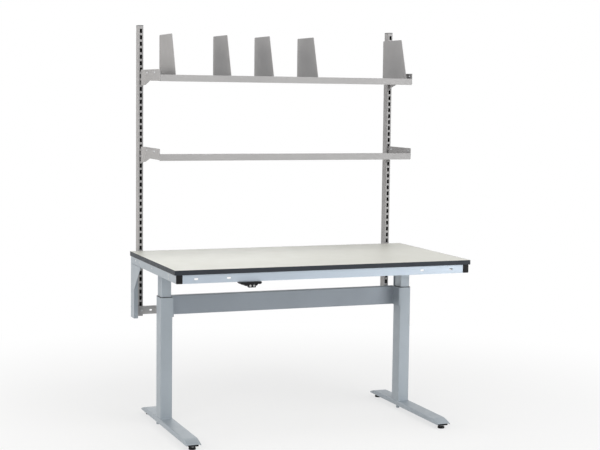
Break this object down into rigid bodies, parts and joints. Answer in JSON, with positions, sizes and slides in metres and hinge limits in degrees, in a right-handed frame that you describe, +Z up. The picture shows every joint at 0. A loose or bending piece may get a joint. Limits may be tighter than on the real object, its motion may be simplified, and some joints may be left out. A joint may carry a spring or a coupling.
{
  "type": "packing table",
  "caption": "Height-adjustable packing table: laminate board on telescopic columns with long feet, slotted uprights behind it, and hooked shelves with sliding dividers.",
  "frame": {"origin": "on the floor, in the middle of the outer box", "axes": "+X to the right of the person at the table, +Y from that person to the rear, +Z up"},
  "size_m": [1.5, 0.8936, 1.972],
  "materials": {
    "silver_paint": "satin silver-grey powder coat",
    "grey_paint": "fine textured mid-grey powder coat",
    "rail_silver": "smooth pale silver powder coat",
    "laminate": "particle board with a pale warm-grey laminate",
    "edge_grey": "dark grey edge strip, satin",
    "black_plastic": "black moulded plastic, fine grain",
    "dark_plastic": "dark grey moulded plastic",
    "button_grey": "light grey moulded plastic",
    "steel": "bright zinc-plated steel",
    "brass": "machined brass"
  },
  "bodies": {
    "base": {"foot_bar_left": "silver_paint", "outer_column_left": "silver_paint", "guide_ring_left": "dark_plastic", "base_bolt_left": "steel", "nut_tube_left": "brass", "foot_insert_front_left": "black_plastic", "foot_insert_rear_left": "black_plastic", "foot_bar_right": "silver_paint", "outer_column_right": "silver_paint", "guide_ring_right": "dark_plastic", "base_bolt_right": "steel", "nut_tube_right": "brass", "foot_insert_front_right": "black_plastic", "foot_insert_rear_right": "black_plastic", "crossbeam": "silver_paint"},
    "lift": {"inner_column_left": "silver_paint", "motor_left": "steel", "side_tube_left": "silver_paint", "tube_cap_left": "black_plastic", "rear_bracket_left": "silver_paint", "upright_left": "grey_paint", "upright_cap_left": "dark_plastic", "upper_shelf_bracket_left": "grey_paint", "lower_shelf_bracket_left": "grey_paint", "inner_column_right": "silver_paint", "motor_right": "steel", "side_tube_right": "silver_paint", "tube_cap_right": "black_plastic", "rear_bracket_right": "silver_paint", "upright_right": "grey_paint", "upright_cap_right": "dark_plastic", "upper_shelf_bracket_right": "grey_paint", "lower_shelf_bracket_right": "grey_paint", "front_rail": "rail_silver", "lower_cross_rail": "grey_paint", "upper_cross_rail": "grey_paint", "tabletop": "laminate", "edge_band": "edge_grey", "control_box": "black_plastic", "handset": "black_plastic", "upper_shelf": "grey_paint", "lower_shelf": "grey_paint"},
    "spindle_left": {"spindle_left": "steel"},
    "spindle_right": {"spindle_right": "steel"},
    "levelling_pad_front_left": {"levelling_pad_front_left": "black_plastic"},
    "levelling_stud_front_left": {"levelling_stud_front_left": "steel"},
    "levelling_pad_rear_left": {"levelling_pad_rear_left": "black_plastic"},
    "levelling_stud_rear_left": {"levelling_stud_rear_left": "steel"},
    "levelling_pad_front_right": {"levelling_pad_front_right": "black_plastic"},
    "levelling_stud_front_right": {"levelling_stud_front_right": "steel"},
    "levelling_pad_rear_right": {"levelling_pad_rear_right": "black_plastic"},
    "levelling_stud_rear_right": {"levelling_stud_rear_right": "steel"},
    "down_button": {"down_button": "button_grey"},
    "up_button": {"up_button": "button_grey"},
    "divider_1": {"divider_1": "grey_paint"},
    "divider_2": {"divider_2": "grey_paint"},
    "divider_3": {"divider_3": "grey_paint"},
    "divider_4": {"divider_4": "grey_paint"},
    "divider_5": {"divider_5": "grey_paint"}
  },
  "joints": [
    {"name": "height_adjust", "type": "slide", "parent": "base", "child": "lift", "axis": [0, 0, 1], "range_m": [-0.143, 0.257]},
    {"name": "spindle_left_turn", "type": "hinge", "parent": "lift", "child": "spindle_left", "pos_m": [-0.6435, 0.1078, 0.45], "axis": [0, 0, 1], "range_deg": [-6440, 11570]},
    {"name": "spindle_right_turn", "type": "hinge", "parent": "lift", "child": "spindle_right", "pos_m": [0.6435, 0.1078, 0.45], "axis": [0, 0, 1], "range_deg": [-6440, 11570]},
    {"name": "level_front_left", "type": "slide", "parent": "base", "child": "levelling_pad_front_left", "axis": [0, 0, -1], "range_m": [-0.002, 0.008]},
    {"name": "level_turn_front_left", "type": "hinge", "parent": "levelling_pad_front_left", "child": "levelling_stud_front_left", "pos_m": [-0.6435, -0.3652, 0.012], "axis": [0, 0, -1], "range_deg": [-481, 1921]},
    {"name": "level_rear_left", "type": "slide", "parent": "base", "child": "levelling_pad_rear_left", "axis": [0, 0, -1], "range_m": [-0.002, 0.008]},
    {"name": "level_turn_rear_left", "type": "hinge", "parent": "levelling_pad_rear_left", "child": "levelling_stud_rear_left", "pos_m": [-0.6435, 0.3808, 0.012], "axis": [0, 0, -1], "range_deg": [-481, 1921]},
    {"name": "level_front_right", "type": "slide", "parent": "base", "child": "levelling_pad_front_right", "axis": [0, 0, -1], "range_m": [-0.002, 0.008]},
    {"name": "level_turn_front_right", "type": "hinge", "parent": "levelling_pad_front_right", "child": "levelling_stud_front_right", "pos_m": [0.6435, -0.3652, 0.012], "axis": [0, 0, -1], "range_deg": [-481, 1921]},
    {"name": "level_rear_right", "type": "slide", "parent": "base", "child": "levelling_pad_rear_right", "axis": [0, 0, -1], "range_m": [-0.002, 0.008]},
    {"name": "level_turn_rear_right", "type": "hinge", "parent": "levelling_pad_rear_right", "child": "levelling_stud_rear_right", "pos_m": [0.6435, 0.3808, 0.012], "axis": [0, 0, -1], "range_deg": [-481, 1921]},
    {"name": "down_button_press", "type": "slide", "parent": "lift", "child": "down_button", "axis": [0, 1, 0], "range_m": [0, 0.0012], "stiffness_N_per_m": 800, "springref_m": -0.0005},
    {"name": "up_button_press", "type": "slide", "parent": "lift", "child": "up_button", "axis": [0, 1, 0], "range_m": [0, 0.0012], "stiffness_N_per_m": 800, "springref_m": -0.0005},
    {"name": "divider_1_slide", "type": "slide", "parent": "lift", "child": "divider_1", "axis": [1, 0, 0], "range_m": [-0.01, 0.1]},
    {"name": "divider_2_slide", "type": "slide", "parent": "lift", "child": "divider_2", "axis": [1, 0, 0], "range_m": [-0.1, 0.06]},
    {"name": "divider_3_slide", "type": "slide", "parent": "lift", "child": "divider_3", "axis": [1, 0, 0], "range_m": [-0.06, 0.08]},
    {"name": "divider_4_slide", "type": "slide", "parent": "lift", "child": "divider_4", "axis": [1, 0, 0], "range_m": [-0.08, 0.2]},
    {"name": "divider_5_slide", "type": "slide", "parent": "lift", "child": "divider_5", "axis": [1, 0, 0], "range_m": [-0.2, 0.02]}
  ],
  "couplings": [
    {"joint": "spindle_left_turn", "follows": "height_adjust", "rad_per_m": 785.4},
    {"joint": "spindle_right_turn", "follows": "height_adjust", "rad_per_m": 785.4},
    {"joint": "level_turn_front_left", "follows": "level_front_left", "rad_per_m": 4188.8},
    {"joint": "level_turn_rear_left", "follows": "level_rear_left", "rad_per_m": 4188.8},
    {"joint": "level_turn_front_right", "follows": "level_front_right", "rad_per_m": 4188.8},
    {"joint": "level_turn_rear_right", "follows": "level_rear_right", "rad_per_m": 4188.8}
  ]
}
